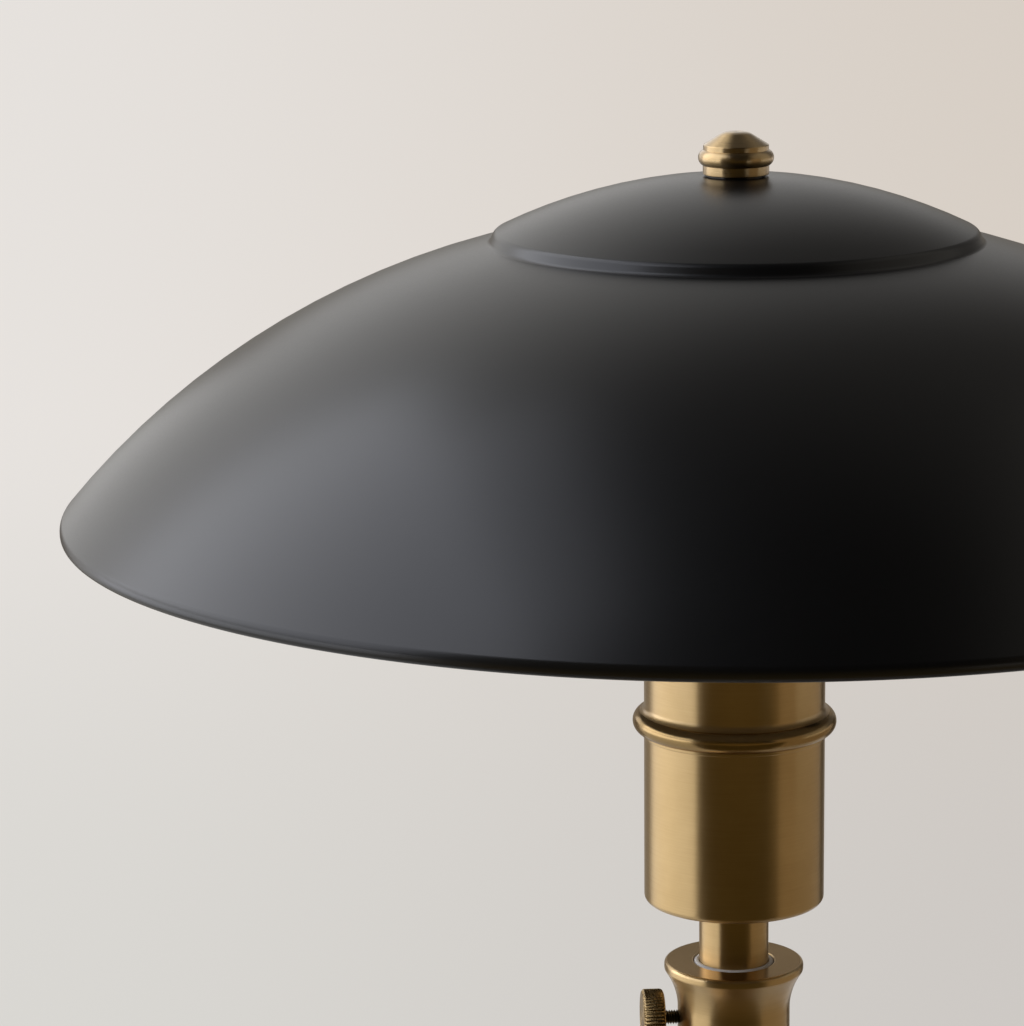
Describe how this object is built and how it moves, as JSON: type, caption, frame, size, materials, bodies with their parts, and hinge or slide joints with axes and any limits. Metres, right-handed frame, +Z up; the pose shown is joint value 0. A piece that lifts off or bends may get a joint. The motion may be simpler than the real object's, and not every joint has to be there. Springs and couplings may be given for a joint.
{
  "type": "task lamp",
  "caption": "Table task lamp with a stepped black dome shade on a brass column whose stem slides and turns in a collar and is clamped by a knurled thumb screw.",
  "frame": {"origin": "centre of the base, on the table", "axes": "+Z up along the column, -X towards the thumb screw, +Y towards the cord inlet"},
  "size_m": [0.36, 0.36, 0.5017],
  "materials": {
    "antique_brass": "brushed and darkened, satin",
    "shade_black": "fine matte powder coat, white inside",
    "nylon_grey": "moulded nylon",
    "dark_steel": "blackened",
    "zinc_steel": "zinc plated",
    "bright_brass": "plain rolled",
    "harp_nickel": "satin nickel",
    "cast_iron": "as cast",
    "felt_black": "pressed wool felt",
    "bakelite": "moulded phenolic",
    "porcelain": "glazed",
    "bulb_glass": "frosted",
    "cap_aluminium": "drawn",
    "solder": "soldered",
    "cord_rubber": "moulded"
  },
  "bodies": {
    "stand": {"base_felt": "felt_black", "base_plate": "zinc_steel", "base_screws": "zinc_steel", "base_weight": "cast_iron", "base_cover": "antique_brass", "cord_bush": "cord_rubber", "base_washer": "zinc_steel", "base_nut": "zinc_steel", "base_nipple": "zinc_steel", "post_plug": "bright_brass", "post_foot": "antique_brass", "post_tube": "antique_brass", "collar": "antique_brass", "collar_bush": "nylon_grey"},
    "guide": {"guide_ring": "nylon_grey"},
    "head": {"stem_tube": "antique_brass", "guide_clips": "dark_steel", "stem_plug": "bright_brass", "riser_pipe": "zinc_steel", "socket_cup": "antique_brass", "socket_sleeve": "antique_brass", "cup_nut": "bright_brass", "harp_saddle": "harp_nickel", "harp_arms": "harp_nickel", "harp_ferrules": "harp_nickel", "harp_hub": "harp_nickel", "shade": "shade_black", "socket_base": "bakelite", "socket_insulator": "porcelain", "screw_shell": "bright_brass", "terminal_screws": "bright_brass"},
    "switch": {"switch_shaft": "dark_steel", "switch_knob": "bakelite"},
    "clamp_pad": {"clamp_pad": "nylon_grey"},
    "thumb_screw": {"thumb_screw": "antique_brass"},
    "finial_washer": {"finial_washer": "dark_steel"},
    "finial": {"finial": "antique_brass"},
    "contact": {"contact_button": "bright_brass"},
    "bulb_foot": {"bulb_tip": "solder", "bulb_insulator": "bakelite"},
    "bulb": {"bulb_glass": "bulb_glass", "bulb_cap": "cap_aluminium"}
  },
  "joints": [
    {"name": "column_slide", "type": "slide", "parent": "stand", "child": "guide", "axis": [0, 0, 1], "range_m": [-0.016, 0.12]},
    {"name": "head_swivel", "type": "hinge", "parent": "guide", "child": "head", "pos_m": [0, 0, 0.274], "axis": [0, 0, 1], "range_deg": [-175, 175]},
    {"name": "switch_turn", "type": "hinge", "parent": "head", "child": "switch", "pos_m": [0.03, 0, 0.364], "axis": [1, 0, 0], "continuous": true},
    {"name": "lock_travel", "type": "slide", "parent": "stand", "child": "clamp_pad", "axis": [-1, 0, 0], "range_m": [0, 0.00072]},
    {"name": "lock_turn", "type": "hinge", "parent": "clamp_pad", "child": "thumb_screw", "pos_m": [-0.02, 0, 0.2579], "axis": [-1, 0, 0], "range_deg": [0, 360]},
    {"name": "finial_lift", "type": "slide", "parent": "head", "child": "finial_washer", "axis": [0, 0, 1], "range_m": [0, 0.0071]},
    {"name": "finial_turn", "type": "hinge", "parent": "finial_washer", "child": "finial", "pos_m": [0, 0, 0.495], "axis": [0, 0, 1], "range_deg": [0, 2700]},
    {"name": "contact_press", "type": "slide", "parent": "head", "child": "contact", "axis": [0, 0, 1], "range_m": [-0.0015, 0], "stiffness_N_per_m": 800},
    {"name": "bulb_rise", "type": "slide", "parent": "head", "child": "bulb_foot", "axis": [0, 0, 1], "range_m": [0, 0.0185]},
    {"name": "bulb_turn", "type": "hinge", "parent": "bulb_foot", "child": "bulb", "pos_m": [0, 0, 0.4], "axis": [0, 0, 1], "range_deg": [0, 1800]}
  ],
  "couplings": [
    {"joint": "lock_travel", "follows": "lock_turn", "m_per_rad": 0.00011141},
    {"joint": "finial_lift", "follows": "finial_turn", "m_per_rad": 0.00014961},
    {"joint": "bulb_rise", "follows": "bulb_turn", "m_per_rad": 0.00057773}
  ]
}
